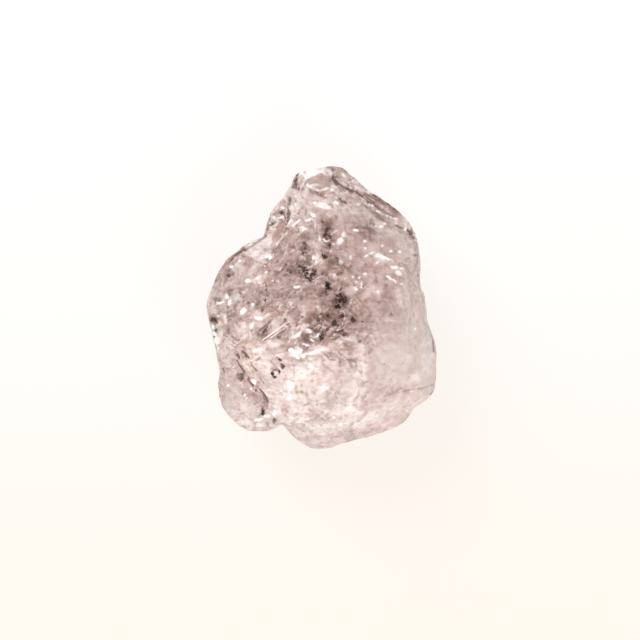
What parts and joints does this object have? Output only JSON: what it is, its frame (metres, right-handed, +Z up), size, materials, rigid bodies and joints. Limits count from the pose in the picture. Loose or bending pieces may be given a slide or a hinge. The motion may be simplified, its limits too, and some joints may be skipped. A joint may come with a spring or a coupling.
{
  "type": "morganite crystal",
  "caption": "Rough, see-through pink morganite crystal with broken faces, ledges and dark inclusions, lying on its flat back.",
  "frame": {"origin": "on the surface that the stone lies on, under the middle of its box", "axes": "+Z up, out of the broad front face; +Y along the stone's length towards its narrow end; +X to the right of the front view"},
  "size_m": [0.0184, 0.0226, 0.0142],
  "materials": {
    "morganite": "dusty pink, see-through beryl with glassy broken faces, pale cloudy zones and dark specks"
  },
  "bodies": {
    "root": {"morganite_crystal": "morganite"}
  },
  "joints": []
}
